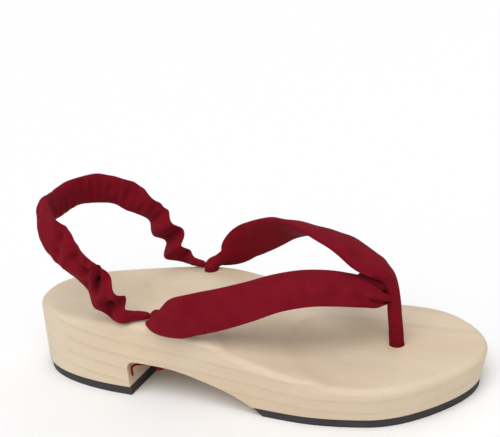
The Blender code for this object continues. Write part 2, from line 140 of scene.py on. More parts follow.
# Fineness of the meshes
HEEL_STEPS = 44
FILLET_STEPS = 8
ARCH_STEPS = 40
FOREFOOT_STEPS = 64
WALL_STEPS = 6
EDGE_STEPS = 8
TREAD_ROWS = 4
ACROSS_STEPS = 18
HOLE_SIDES = 64
STRAP_SIDES = 84
ARM_STEPS = 420
NECK_SIDES = 40
NECK_STEPS = 60
BAND_SIDES = 72
BAND_STEPS = 900
KNOT_STEPS = 150
KNOT_SIDES = 20
CORD_STEPS = 60

# The photo's camera, in the shoe's frame
CAMERA_PLACE = Vector((0.34757, -0.52024, 0.30966))
CAMERA_AZIMUTH = 26.0
CAMERA_ELEVATION = 21.0
CAMERA_ROLL = -6.28
CAMERA_LENS = 90.04
CAMERA_SENSOR = 36.0

# The base's half widths along its length, in ball widths
Plan = namedtuple("Plan", "share outer inner")
PLAN = (
    Plan(0.00, 0.376, 0.376),
    Plan(0.16, 0.376, 0.376),
    Plan(0.38, 0.408, 0.408),
    Plan(0.56, 0.464, 0.443),
    Plan(0.72, 0.508, 0.492),
    Plan(0.88, 0.467, 0.469),
    Plan(1.00, 0.374, 0.375),
)

# The footbed's height along the base's length, in footbed heights
Top = namedtuple("Top", "share height")
TOP = (
    Top(0.00, 0.920),
    Top(0.10, 0.915),
    Top(0.20, 0.938),
    Top(0.27, 0.972),
    Top(0.34, 1.000),
    Top(0.40, 0.985),
    Top(0.48, 0.893),
    Top(0.56, 0.766),
    Top(0.64, 0.663),
    Top(0.74, 0.570),
    Top(0.84, 0.524),
    Top(1.00, 0.500),
)

# The waist's underside, from the heel's front face: lengths in arch lengths, heights in arch heights
Arch = namedtuple("Arch", "share height")
ARCH = (
    Arch(0.00, 1.000),
    Arch(0.20, 0.995),
    Arch(0.36, 0.955),
    Arch(0.50, 0.865),
    Arch(0.64, 0.730),
    Arch(0.78, 0.570),
    Arch(0.90, 0.375),
    Arch(1.00, 0.140),
    Arch(1.09, -0.120),
)

# A strap arm from its tip, just behind its rear hole (along 0), to the post (along 1). Out is in ball widths
# beside the straight line between the holes, rise in that arm's rise above the footbed, wide and thick in
# strap widths and thicknesses. Lean and turn aim the strap's face: lean up from level, turn from sideways
# towards the toe.
Arm = namedtuple("Arm", "along out rise wide thick lean turn")
OUTER_ARM = (
    Arm(-0.018, 0.062, 0.040, 0.13, 0.45, 50, 0),
    Arm(0.006, 0.078, 0.056, 0.30, 0.75, 46, 0),
    Arm(0.051, 0.112, 0.098, 0.52, 1.00, 38, 0),
    Arm(0.096, 0.143, 0.170, 0.74, 1.00, 26, 0),
    Arm(0.145, 0.170, 0.256, 0.92, 1.00, 18, 0),
    Arm(0.234, 0.190, 0.388, 0.96, 1.00, 12, 0),
    Arm(0.348, 0.200, 0.552, 0.94, 0.98, 24, 2),
    Arm(0.472, 0.200, 0.750, 0.92, 0.96, 36, 5),
    Arm(0.586, 0.196, 0.925, 0.92, 0.96, 46, 9),
    Arm(0.689, 0.162, 0.992, 0.95, 0.96, 52, 14),
    Arm(0.793, 0.104, 0.952, 0.95, 0.96, 56, 20),
    Arm(0.886, 0.058, 0.866, 0.84, 1.00, 56, 26),
    Arm(0.956, 0.024, 0.776, 0.62, 1.00, 48, 40),
)
INNER_ARM = (
    Arm(-0.018, 0.066, 0.033, 0.15, 0.50, 50, 0),
    Arm(0.006, 0.080, 0.051, 0.38, 0.85, 46, 0),
    Arm(0.051, 0.112, 0.086, 0.66, 1.05, 38, 0),
    Arm(0.161, 0.138, 0.310, 0.97, 1.00, 18, 0),
    Arm(0.275, 0.138, 0.505, 1.00, 1.00, 22, 0),
    Arm(0.399, 0.116, 0.720, 0.94, 0.98, 36, 0),
    Arm(0.503, 0.090, 0.840, 0.92, 0.96, 52, 0),
    Arm(0.606, 0.056, 0.912, 0.94, 0.96, 66, 12),
    Arm(0.710, 0.024, 0.940, 0.96, 0.96, 76, 38),
    Arm(0.800, 0.002, 0.914, 0.96, 1.00, 76, 76),
    Arm(0.875, -0.004, 0.834, 0.93, 1.02, 68, 102),
    Arm(0.930, -0.002, 0.788, 0.82, 1.08, 58, 100),
    Arm(0.971, 0.002, 0.732, 0.58, 1.10, 40, 84),
)
# The strip that the inner arm makes as it comes down over the outer arm's end, and that end, tucked in
# behind it. The post's heights are in outer rises above the footbed.
FRONT_STRIP = Arm(0.990, 0.004, 0.620, 0.40, 1.05, 14, 84)
TUCKED_END = Arm(0.988, 0.006, 0.690, 0.22, 0.60, 40, 50)
POST_TOP = 0.645
POST_LOW = 0.450

# Half of the back band, from its root behind a strap's neck (back 0) to the middle behind the ankle
# (back 1). Back is in band reaches, out in ball widths from the middle line, rise in band rises above the
# footbed. The first row's tip runs into the neck.
Band = namedtuple("Band", "back out rise wide thick lean")
BAND = (
    Band(-0.024, 0.334, 0.046, 0.05, 0.12, 0),
    Band(0.000, 0.338, 0.048, 0.20, 0.36, 0),
    Band(0.060, 0.346, 0.054, 0.29, 0.50, 0),
    Band(0.120, 0.358, 0.060, 0.35, 0.54, 2),
    Band(0.186, 0.374, 0.082, 0.52, 0.60, 6),
    Band(0.252, 0.384, 0.172, 0.86, 0.68, 8),
    Band(0.308, 0.390, 0.296, 1.00, 0.78, 8),
    Band(0.374, 0.395, 0.445, 1.08, 0.86, 8),
    Band(0.468, 0.398, 0.625, 1.00, 0.92, 8),
    Band(0.624, 0.370, 0.820, 1.02, 0.97, 8),
    Band(0.817, 0.298, 0.955, 1.03, 1.00, 8),
    Band(0.944, 0.178, 0.995, 1.04, 1.00, 8),
    Band(1.000, 0.000, 0.970, 1.05, 1.00, 8),
)

# The band's folds on each side, from its root (share 0) to the middle behind the ankle (share 1): how far
# its upper and its lower edge stand out, or in where negative, in fold depths
Fold = namedtuple("Fold", "share upper lower")
OUTER_FOLDS = (
    Fold(0.000, 0.00, 0.00),
    Fold(0.094, 0.08, 0.17),
    Fold(0.137, 0.26, 0.26),
    Fold(0.187, -0.70, 0.00),
    Fold(0.248, 0.60, 0.30),
    Fold(0.322, -0.32, -0.60),
    Fold(0.383, 0.08, -0.50),
    Fold(0.445, 0.50, 0.00),
    Fold(0.514, 0.10, 0.45),
    Fold(0.586, -0.40, 0.55),
    Fold(0.672, -0.20, 0.40),
    Fold(0.769, -0.35, 0.20),
    Fold(0.865, 0.08, 0.00),
    Fold(0.930, -0.06, 0.08),
    Fold(1.000, 0.00, 0.00),
)
INNER_FOLDS = (
    Fold(0.000, 0.00, 0.00),
    Fold(0.094, 0.08, 0.17),
    Fold(0.148, 0.30, 0.26),
    Fold(0.202, -0.78, -0.86),
    Fold(0.264, 0.52, 0.78),
    Fold(0.325, -0.50, -0.22),
    Fold(0.399, 0.26, 0.43),
    Fold(0.476, -0.34, 0.08),
    Fold(0.553, 0.26, -0.26),
    Fold(0.634, -0.14, 0.20),
    Fold(0.721, 0.17, -0.07),
    Fold(0.827, -0.09, 0.12),
    Fold(0.923, 0.09, -0.05),
    Fold(1.000, 0.00, 0.00),
)

# A soft trough or, where its depth is negative, a ridge in a strap's outer face, from one point of it to
# another: along in shares of the piece's length, up from -1 at its lower edge to 1, and the half width and
# depth in the strap's or the band's thickness
Crease = namedtuple("Crease", "along up to_along to_up width depth")
OUTER_CREASES = (
    Crease(0.383, -1.05, 0.388, -0.75, 0.30, 0.10),
    Crease(0.835, -0.38, 0.892, -0.62, 0.22, 0.09),
    Crease(0.908, -0.67, 0.985, -0.72, 0.24, 0.24),
    Crease(0.860, -0.86, 0.950, -0.90, 0.22, -0.10),
    Crease(0.918, 0.80, 0.962, 0.30, 0.42, 0.38),
    Crease(0.936, 0.00, 0.924, -0.42, 0.10, 0.05),
    Crease(0.948, 0.05, 0.956, -0.30, 0.10, 0.05),
)
INNER_CREASES = (
    Crease(0.684, 0.95, 0.722, 0.86, 0.34, 0.16),
    Crease(0.722, 0.86, 0.752, 0.80, 0.34, 0.40),
    Crease(0.762, 0.70, 0.790, 0.55, 0.22, -0.10),
)
BAND_CREASES = (
    Crease(0.365, 0.80, 0.325, 0.30, 0.50, 0.20),
    Crease(0.302, 1.05, 0.291, 0.33, 0.40, 0.30),
    Crease(0.291, 0.33, 0.276, -0.25, 0.40, 0.26),
    Crease(0.276, -0.25, 0.256, -0.70, 0.34, 0.16),
    Crease(0.272, 0.95, 0.250, 0.20, 0.34, -0.14),
    Crease(0.250, 0.20, 0.248, -0.60, 0.34, -0.12),
    Crease(0.247, 0.90, 0.236, 0.45, 0.36, 0.26),
    Crease(0.236, 0.45, 0.202, 0.35, 0.36, 0.26),
    Crease(0.240, -0.55, 0.190, -0.10, 0.32, -0.12),
    Crease(0.216, 1.05, 0.212, 0.80, 0.20, 0.20),
    Crease(0.200, 0.75, 0.156, -0.60, 0.24, -0.24),
    Crease(0.192, 1.00, 0.166, 0.35, 0.20, 0.34),
    Crease(0.166, 0.35, 0.148, -0.10, 0.20, 0.28),
    Crease(0.178, 0.75, 0.138, 0.20, 0.30, -0.12),
    Crease(0.124, 0.50, 0.110, 0.00, 0.40, 0.30),
    Crease(0.110, 0.00, 0.096, -0.70, 0.46, 0.46),
    Crease(0.040, 0.00, 0.016, -0.25, 0.20, 0.07),
    Crease(0.650, 1.00, 0.672, 0.10, 0.38, 0.24),
    Crease(0.672, 0.10, 0.690, -0.60, 0.34, 0.18),
    Crease(0.725, 0.90, 0.748, -0.10, 0.34, 0.26),
    Crease(0.760, 0.60, 0.782, -0.60, 0.30, -0.14),
    Crease(0.796, 0.95, 0.822, -0.30, 0.26, 0.30),
    Crease(0.868, 0.70, 0.902, -0.60, 0.34, 0.30),
    Crease(0.966, 0.00, 0.996, -0.20, 0.18, 0.14),
)

Section = namedtuple("Section", "place wide thick face")


# Curves

def smooth(share):
    share = np.clip(share, 0.0, 1.0)
    return share * share * (3 - 2 * share)


def mix(start, end, share):
    return start + (end - start) * share


def through(knots, values, at):
    """The smooth curve that passes through the rows of values at their knots, read at many places."""
    knots = np.asarray(knots, float)
    values = np.asarray(values, float)
    steps = np.diff(knots)[:, None]
    slopes = np.diff(values, axis=0) / steps
    inner = (slopes[:-1] * steps[1:] + slopes[1:] * steps[:-1]) / (steps[1:] + steps[:-1])
    tangents = np.vstack([slopes[:1], inner, slopes[-1:]])
    at = np.atleast_1d(at)
    low = np.clip(np.searchsorted(knots, at) - 1, 0, len(steps) - 1)
    step = steps[low]
    t = (at[:, None] - knots[low][:, None]) / step
    ease = t * t * (3 - 2 * t)
    start = tangents[low] * step * t * (1 - t) ** 2
    end = tangents[low + 1] * step * t * t * (t - 1)
    return values[low] * (1 - ease) + values[low + 1] * ease + start + end


def column(rows, name, share):
    """One column of a table, read between its rows at one place or many."""
    values = through([row[0] for row in rows], [[getattr(row, name)] for row in rows], share)[:, 0]
    return float(values[0]) if np.ndim(share) == 0 else values


def waves(along, across, size, slant, seed, count=7):
    """A smooth uneven height over a strip, about -1 to 1, in slanting folds of about one size."""
    random = np.random.default_rng(seed)
    total = np.zeros(np.broadcast(along, across).shape)
    for _ in range(count):
        pace = random.uniform(0.6, 1.5) * 2 * math.pi / size
        lean = random.uniform(-slant, slant)
        total += np.sin(pace * (along + lean * across) + random.uniform(0, 2 * math.pi))
    return total / math.sqrt(count)


def trough(reach):
    """A soft trough's profile, 1 deep in its middle, with low shoulders."""
    return (1 - 0.6 * reach ** 2) * np.exp(-0.7 * reach ** 2)


def sunk(creases, length, half, thickness, along, up):
    """How far creases sink a face at places along and across it."""
    total = np.zeros(np.broadcast(along, up).shape)
    for row in creases:
        start = (row.along * length, row.up * half)
        span = (row.to_along * length - start[0], row.to_up * half - start[1])
        ahead, aside = along - start[0], up * half - start[1]
        share = np.clip((ahead * span[0] + aside * span[1]) / (span[0] ** 2 + span[1] ** 2), 0, 1)
        away = np.hypot(ahead - share * span[0], aside - share * span[1])
        total += row.depth * thickness * trough(away / (row.width * thickness))
    return total


# The base's form

def round_end(reach, power):
    """The share of the full width at a distance from a rounded end, where 1 is the end of the rounding."""
    return (1 - (1 - np.clip(reach, 0.0, 1.0)) ** power) ** (1 / power)


def middle_line(share):
    """How far the base's middle line swings to the inner side, ahead of the waist."""
    return TOE_SWING * np.clip(2 * share - 1, 0.0, None) ** 2


def outline(share, side):
    """Points of the base's outline, seen from above."""
    share = np.atleast_1d(share)
    width = BALL_WIDTH * column(PLAN, "outer" if side == OUTER else "inner", share)
    width = width * round_end(share * LENGTH / HEEL_CURVE_LENGTH, HEEL_CURVE_POWER)
    width = width * round_end((1 - share) * LENGTH / TOE_CURVE_LENGTH, TOE_CURVE_POWER)
    return np.stack([share * LENGTH - HEEL_CENTRE, middle_line(share) + side * width], axis=-1)


def inset_outline(share, side, inset):
    """The outline moved inwards along its normal, by one distance or by one for each point."""
    small = 1e-4
    along = outline(np.minimum(1, share + small), side) - outline(np.maximum(0, share - small), side)
    along /= np.linalg.norm(along, axis=1)[:, None]
    normal = np.stack([along[:, 1], -along[:, 0]], axis=-1) * side
    normal[share <= 0] = (1, 0)
    normal[share >= 1] = (-1, 0)
    return outline(share, side) + normal * np.reshape(inset, (-1, 1))


def share_of(x):
    return (x + HEEL_CENTRE) / LENGTH


def footbed_height(x):
    return FOOTBED_HEIGHT * column(TOP, "height", np.clip(share_of(x), 0, 1))


def arch_share(x):
    return (x + HEEL_CENTRE - HEEL_BLOCK_LENGTH) / ARCH_LENGTH


def arch_roof(x):
    return ARCH_HEIGHT * column(ARCH, "height", arch_share(x))


def arch_end(height):
    """Where the waist's underside comes down to a height."""
    low = HEEL_BLOCK_LENGTH - HEEL_CENTRE
    high = low + ARCH[-1].share * ARCH_LENGTH
    for _ in range(40):
        middle = (low + high) / 2
        if arch_roof(middle) > height:
            low = middle
        else:
            high = middle
    return (low + high) / 2


def draft_at(share):
    """How far the side leans in at its bottom: a little outwards at the heel, inwards round the forefoot."""
    return mix(HEEL_DRAFT, FOREFOOT_DRAFT, smooth(arch_share(share * LENGTH - HEEL_CENTRE)))


def hole_place(front, side):
    """The middle of a strap hole, seen from above."""
    if front:
        y = float(middle_line(FRONT_HOLE_BACK / LENGTH)) + FRONT_HOLE_INWARD
        return Vector((FRONT_HOLE_BACK - HEEL_CENTRE, y))
    edge = outline(REAR_HOLE_BACK / LENGTH, side)[0]
    return Vector((edge[0], edge[1] - side * REAR_HOLE_MARGIN))


def recess_roof():
    return FOREFOOT_RUBBER + SEAM_GAP + RECESS_DEPTH


# Meshes

def add_grid(mesh, points):
    """Quads over rows of points."""
    rows = [[mesh.verts.new(point) for point in row] for row in points]
    for low, high in zip(rows, rows[1:]):
        for i in range(len(low) - 1):
            mesh.faces.new((low[i], low[i + 1], high[i + 1], high[i]))
    return rows


def finished(name, mesh, merge=1e-6):
    bmesh.ops.remove_doubles(mesh, verts=mesh.verts, dist=merge)
    bmesh.ops.recalc_face_normals(mesh, faces=mesh.faces)
    data = bpy.data.meshes.new(name)
    mesh.to_mesh(data)
    mesh.free()
    made = bpy.data.objects.new(name, data)
    bpy.context.scene.collection.objects.link(made)
    return made


def tube(name, rings):
    """A closed tube through rings of points."""
    mesh = bmesh.new()
    closed = np.concatenate([rings, rings[:, :1]], axis=1)
    add_grid(mesh, closed)
    bmesh.ops.remove_doubles(mesh, verts=mesh.verts, dist=1e-7)
    bmesh.ops.holes_fill(mesh, edges=[edge for edge in mesh.edges if edge.is_boundary])
    return finished(name, mesh, 1e-7)


def apply_modifiers(made):
    """Keeps what the modifiers make as the piece's own mesh."""
    bpy.context.view_layer.update()
    evaluated = made.evaluated_get(bpy.context.evaluated_depsgraph_get())
    data = bpy.data.meshes.new_from_object(evaluated)
    made.modifiers.clear()
    made.data = data
    return made


def bevel_sharp(made, width, angle=38, segments=3):
    modifier = made.modifiers.new("worn edges", "BEVEL")
    modifier.width = width
    modifier.segments = segments
    modifier.limit_method = "ANGLE"
    modifier.angle_limit = math.radians(angle)
    modifier.use_clamp_overlap = True
    return apply_modifiers(made)


def join(made, other):
    """Put another mesh's faces into a made object."""
    mesh = bmesh.new()
    mesh.from_mesh(made.data)
    mesh.from_mesh(other.data)
    mesh.to_mesh(made.data)
    mesh.free()
    bpy.data.objects.remove(other, do_unlink=True)


def boolean(made, other, operation):
    modifier = made.modifiers.new("boolean", "BOOLEAN")
    modifier.operation = operation
    modifier.solver = "MANIFOLD"
    modifier.object = other
    apply_modifiers(made)
    bpy.data.objects.remove(other)


def shade(made, angle=40):
    made.data.shade_smooth()
    made.data.set_sharp_from_angle(angle=math.radians(angle))
    return made


def turned_cutter(name, x, y, profile):
    """A cutter turned round an upright axis, from (radius, height) pairs, bottom first."""
    mesh = bmesh.new()
    angles = np.linspace(0, 2 * math.pi, HOLE_SIDES + 1)
    rows = []
    for radius, height in [(0, profile[0][1])] + list(profile) + [(0, profile[-1][1])]:
        rows.append([(x + radius * math.cos(a), y + radius * math.sin(a), height) for a in angles])
    add_grid(mesh, rows)
    return finished(name, mesh, 1e-6)


def across_grid(outer, inner):
    """Rows of points from the outer rail to the inner one."""
    return [mix(outer, inner, step / ACROSS_STEPS) for step in range(ACROSS_STEPS + 1)]


def wall_rows(shares, side, low, high, steps, pin_x=None):
    """Rows of points up the base's side between two heights given at each station."""
    top = footbed_height(shares * LENGTH - HEEL_CENTRE) - EDGE_RADIUS
    heel = arch_share(shares * LENGTH - HEEL_CENTRE) < 0.5
    bottom = np.where(heel, HEEL_RUBBER, FOREFOOT_RUBBER) + SEAM_GAP
    rows = []
    for step in range(steps + 1):
        height = mix(low, high, step / steps)
        inset = draft_at(shares) * (top - height) / (top - bottom)
        flat = inset_outline(shares, side, inset)
        if pin_x is not None:
            flat[pin_x[0], 0] = pin_x[1]
        rows.append(np.column_stack([flat, height]))
    return rows


def wooden_base():
    """The one-piece base: heel block, waist and forefoot, with three strap holes and a recess."""
    heel_front = HEEL_BLOCK_LENGTH - HEEL_CENTRE
    heel_bottom = HEEL_RUBBER + SEAM_GAP
    fore_bottom = FOREFOOT_RUBBER + SEAM_GAP
    heel = share_of(heel_front) * (1 - np.cos(np.linspace(0, math.pi / 2, HEEL_STEPS + 1)))
    turn = np.linspace(0, math.pi / 2, FILLET_STEPS + 1)
    fillet_x = heel_front + ARCH_CORNER_RADIUS * (1 - np.cos(turn))
    fillet_z = ARCH_HEIGHT - ARCH_CORNER_RADIUS * (1 - np.sin(turn))
    last = arch_end(fore_bottom)
    roof_x = np.linspace(fillet_x[-1], last, ARCH_STEPS + 1)[1:]
    arch_x = np.concatenate([fillet_x, roof_x])
    arch_z = np.concatenate([fillet_z, arch_roof(roof_x)])
    arch_z[-1] = fore_bottom
    front = mix(share_of(last), 1.0, np.sin(np.linspace(0, math.pi / 2, FOREFOOT_STEPS + 1)))
    shares = np.concatenate([heel, share_of(arch_x[1:]), front[1:]])
    notch_low = fillet_z[0]
    low = np.concatenate([np.full(len(heel), notch_low), arch_z[1:], np.full(len(front) - 1, fore_bottom)])
    side_top = footbed_height(shares * LENGTH - HEEL_CENTRE) - EDGE_RADIUS

    mesh = bmesh.new()
    rims, floors, heel_rails, face_rails = [], [], [], []
    for side in (OUTER, INNER):
        pin = (len(heel) - 1, heel_front)
        upper = wall_rows(shares, side, low, side_top, WALL_STEPS, pin)
        add_grid(mesh, upper)
        floors.append(upper[0][len(heel) - 1:])
        low_rows = wall_rows(heel, side, np.full(len(heel), heel_bottom), low[:len(heel)], WALL_STEPS, pin)
        add_grid(mesh, low_rows)
        heel_rails.append(low_rows[0])
        face_rails.append(np.array([row[-1] for row in low_rows]))
        rounding = []
        for angle in np.linspace(0, math.pi / 2, EDGE_STEPS + 1):
            flat = inset_outline(shares, side, EDGE_RADIUS * (1 - math.cos(angle)))
            if angle == 0:
                rounding.append(upper[-1])
                continue
            height = footbed_height(flat[:, 0]) - EDGE_RADIUS * (1 - math.sin(angle))
            rounding.append(np.column_stack([flat, height]))
        add_grid(mesh, rounding)
        rims.append(rounding[-1])
    for rails in (rims, floors, heel_rails, face_rails):
        add_grid(mesh, across_grid(rails[0], rails[1]))
    base = finished("sanded_base", mesh, 2e-6)
    bevel_sharp(base, SAWN_EDGE)

    for side in (OUTER, INNER):
        middle = hole_place(False, side)
        profile = ((HOLE_RADIUS, 0.0), (HOLE_RADIUS, CUTTER_TOP))
        boolean(base, turned_cutter("hole", middle.x, middle.y, profile), "DIFFERENCE")
    middle = hole_place(True, OUTER)
    roof = recess_roof()
    profile = (
        (RECESS_RADIUS + SAWN_EDGE, 0.0),
        (RECESS_RADIUS + SAWN_EDGE, fore_bottom),
        (RECESS_RADIUS, fore_bottom + SAWN_EDGE),
        (RECESS_RADIUS, roof),
        (HOLE_RADIUS, roof),
        (HOLE_RADIUS, CUTTER_TOP),
    )
    boolean(base, turned_cutter("recess", middle.x, middle.y, profile), "DIFFERENCE")
    return shade(base)


def tread(name, first_at, last, thickness):
    """A rubber tread: the base's outline, set in a little, up to a last share of the length.

    The heel's tread starts at the base's end. The forefoot's starts where first_at says for each height.
    """
    heights = np.linspace(0, thickness, TREAD_ROWS)
    mesh = bmesh.new()
    ends = np.linspace(0, math.pi / 2, FOREFOOT_STEPS + 1)
    rails = {}
    for side in (OUTER, INNER):
        rows = []
        for height in heights:
            if first_at is None:
                shares = last * (1 - np.cos(ends))
            else:
                first = share_of(first_at(height))
                shares = first + (1 - first) * np.sin(ends)
            flat = inset_outline(shares, side, draft_at(shares) + RUBBER_INSET)
            cut = -1 if first_at is None else 0
            flat[cut, 0] = shares[cut] * LENGTH - HEEL_CENTRE
            rows.append(np.column_stack([flat, np.full(len(shares), height)]))
        add_grid(mesh, rows)
        rails[side] = (rows[0], rows[-1], np.array([row[cut] for row in rows]))
    for outer, inner in zip(rails[OUTER], rails[INNER]):
        add_grid(mesh, across_grid(outer, inner))
    made = finished(name, mesh, 2e-6)
    return bevel_sharp(made, RUBBER_EDGE, segments=2)


def heel_tread():
    return shade(tread("heel_tread", None, share_of(HEEL_BLOCK_LENGTH - HEEL_CENTRE), HEEL_RUBBER))


def forefoot_tread():
    made = tread("forefoot_tread", arch_end, 1.0, FOREFOOT_RUBBER)
    middle = hole_place(True, OUTER)
    profile = ((RECESS_RADIUS, -SEAM_GAP), (RECESS_RADIUS, 2 * FOREFOOT_RUBBER))
    boolean(made, turned_cutter("opening", middle.x, middle.y, profile), "DIFFERENCE")
    return shade(made)


# Straps

def face_vector(side, lean, turn):
    """The way a strap's outer face looks, from its lean above level and its turn towards the toe."""
    lean, turn = math.radians(lean), math.radians(turn)
    return Vector((math.cos(lean) * math.sin(turn), side * math.cos(lean) * math.cos(turn), math.sin(lean)))


def swept_rings(sections, steps, sides, relief=None):
    """Rings of points for a tube of oval sections, moved along the sections' faces by an optional relief.

    The relief reads the tube's length, the place along it, the place across the face from -1 to 1, and the
    share of the thickness in front: 1 on the outer face, -1 on the back.
    """
    places = np.array([row.place for row in sections])
    spans = np.linalg.norm(np.diff(places, axis=0), axis=1)
    knots = np.concatenate([[0], np.cumsum(spans)])
    values = [[*row.place, row.wide / 2, row.thick / 2, *row.face] for row in sections]
    at = np.linspace(0, knots[-1], steps + 1)
    rows = through(knots, values, at)
    ahead = through(knots, values, np.minimum(knots[-1], at + knots[-1] / 500))[:, :3]
    behind = through(knots, values, np.maximum(0, at - knots[-1] / 500))[:, :3]
    along = ahead - behind
    along /= np.linalg.norm(along, axis=1)[:, None]
    face = rows[:, 5:8]
    face = face - along * np.sum(along * face, axis=1)[:, None]
    face /= np.linalg.norm(face, axis=1)[:, None]
    across = np.cross(along, face)
    angles = np.linspace(0, 2 * math.pi, sides, endpoint=False)
    cosine, sine = np.cos(angles)[None, :, None], np.sin(angles)[None, :, None]
    wide, thick = rows[:, 3][:, None, None], rows[:, 4][:, None, None]
    across, face = across[:, None, :], face[:, None, :]
    points = rows[:, None, :3] + across * wide * cosine + face * thick * sine
    if relief:
        points += face * relief(knots[-1], at[:, None], cosine[:, :, 0], sine[:, :, 0])[:, :, None]
    return points


def neck_sections(side, end):
    """The round neck in a rear hole, from just above its knot up through the hole and into the arm."""
    middle = hole_place(False, side)
    top = footbed_height(middle.x)
    bottom = arch_roof(middle.x)
    heights = (bottom, mix(bottom, top, 0.5), top - NECK_RADIUS / 2, top + NECK_RADIUS / 2)
    places = [Vector((middle.x, middle.y, z)) for z in heights] + [end]
    sizes = [2 * NECK_RADIUS] * len(heights) + [1.5 * NECK_RADIUS]
    return [Section(place, size, size, Vector((1, 0, 0))) for place, size in zip(places, sizes)]


def arm_sections(rows, rise, side):
    """A strap arm's sections, from its table."""
    rear = hole_place(False, side)
    front = hole_place(True, side)
    sections = []
    for row in rows:
        line = mix(rear, front, row.along)
        height = footbed_height(line.x) + rise * row.rise
        place = Vector((line.x, line.y + side * row.out * BALL_WIDTH, height))
        face = face_vector(side, row.lean, row.turn)
        sections.append(Section(place, STRAP_WIDTH * row.wide, STRAP_THICKNESS * row.thick, face))
    return sections


def post_sections():
    """The toe post, from under the V down through the front hole to the recess."""
    middle = hole_place(True, OUTER)
    top = footbed_height(middle.x)
    size = 2 * NECK_RADIUS
    heights = (
        top + OUTER_RISE * POST_TOP,
        top + OUTER_RISE * POST_LOW,
        top + NECK_RADIUS,
        top - NECK_RADIUS,
        recess_roof(),
    )
    return [Section(Vector((middle.x, middle.y, z)), size, size, Vector((1, 0, 0))) for z in heights]


def web_sections(outer, inner):
    """The web of cloth that closes the crotch of the V, between the ends of the arms, with rounded ends."""
    ends = []
    for low, high, wide in ((outer[-3], inner[-4], 0.5), (outer[-2], inner[-2], 0.6)):
        span = high.place - low.place
        ends.append((mix(low.place, high.place, 0.45), span, wide * span.length))
    (start, _, start_wide), (end, span, end_wide) = ends
    face = (end - start).cross(span).normalized()
    sections = []
    for share, size in ((-0.30, 0.15), (-0.18, 0.65), (0.0, 0.95), (0.5, 1.0), (1.0, 1.0), (1.25, 0.5)):
        wide = size * mix(start_wide, end_wide, min(1.0, max(0.0, share)))
        sections.append(Section(mix(start, end, share), wide, size * WEB_THICKNESS, face))
    return sections


def arm_relief(side, creases, seed):
    """The creases of an arm's outer face and the slight unevenness of its padding."""
    def relief(length, along, across, front):
        up = side * across
        face = smooth((front + 0.3) / 0.6)
        uneven = waves(along, up * STRAP_WIDTH / 2, PADDING_WAVE, PADDING_SLANT, seed)
        uneven = uneven * PADDING_HEIGHT * STRAP_THICKNESS
        return front * uneven - face * sunk(creases, length, STRAP_WIDTH / 2, STRAP_THICKNESS, along, up)
    return relief


def padded_strap():
    """The V strap: the inner arm with the toe post, the outer arm tucked in behind it, necks and web."""
    outer = arm_sections(OUTER_ARM + (TUCKED_END,), OUTER_RISE, OUTER)
    inner = arm_sections(INNER_ARM + (FRONT_STRIP,), INNER_RISE, INNER)
    rings = swept_rings(inner + post_sections(), ARM_STEPS, STRAP_SIDES, arm_relief(INNER, INNER_CREASES, 3))
    strap = tube("padded_strap", rings)
    rings = swept_rings(outer, ARM_STEPS, STRAP_SIDES, arm_relief(OUTER, OUTER_CREASES, 5))
    joined = [tube("outer_arm", rings)]
    for side, arm in ((OUTER, outer), (INNER, inner)):
        neck = neck_sections(side, arm[2].place)
        joined.append(tube("neck", swept_rings(neck, NECK_STEPS, NECK_SIDES)))
    joined.append(tube("web", swept_rings(web_sections(outer, inner), NECK_STEPS, NECK_SIDES)))
    for other in joined:
        boolean(strap, other, "UNION")
    return shade(strap, 60)


def band_sections():
    """The back band's sections, from its outer root round behind the ankle to its inner root."""
    root_x = REAR_HOLE_BACK - HEEL_CENTRE - HOLE_RADIUS - SEAM_GAP
    half = []
    for side in (OUTER, INNER):
        rows = []
        for row in BAND:
            x = root_x - row.back * BAND_REACH
            height = footbed_height(x) + SEAM_GAP + row.rise * BAND_RISE
            place = Vector((x, side * row.out * BALL_WIDTH, height))
            back_share = min(1.0, max(0.0, (row.back - 0.5) * 2))
            face = face_vector(side, row.lean, -90 * back_share)
            rows.append(Section(place, BAND_WIDTH * row.wide, BAND_THICKNESS * row.thick, face))
        half.append(rows)
    return half[0] + half[1][-2::-1]


def band_fold(share, across):
    """How far the folds move the band outwards, across its width from -1 at its lower edge to 1."""
    reach = 2 * np.minimum(share, 1 - share)
    moved = np.zeros(np.broadcast(share, across).shape)
    for rows, half in ((OUTER_FOLDS, share < 0.5), (INNER_FOLDS, share >= 0.5)):
        lower = column(rows, "lower", reach[:, 0])[:, None]
        upper = column(rows, "upper", reach[:, 0])[:, None]
        moved += half * mix(lower, upper, (1 + across) / 2)
    return FOLD_DEPTH * moved


def band_relief(length, along, up, front):
    """The band's large folds, the creases in its outer face and the small gathers on both faces."""
    face = smooth((front + 0.3) / 0.6)
    aside = up * BAND_WIDTH / 2
    inside = waves(along, aside, INSIDE_GATHER, INSIDE_SLANT, 11)
    outside = waves(along, aside, OUTSIDE_GATHER, OUTSIDE_SLANT, 12)
    fade = GATHER_FADE * length
    ends = smooth(along / fade) * smooth((length - along) / fade)
    gathers = mix(inside, outside, face) * front * ends * GATHER_HEIGHT * BAND_THICKNESS
    creases = face * sunk(BAND_CREASES, length, BAND_WIDTH / 2, BAND_THICKNESS, along, up)
    return band_fold(along / length, up) + gathers - creases


def gathered_band():
    """The back band: a flattened tube of cloth drawn up in folds by its elastic."""
    rings = swept_rings(band_sections(), BAND_STEPS, BAND_SIDES, band_relief)
    return shade(tube("gathered_band", rings), 60)


# Knots

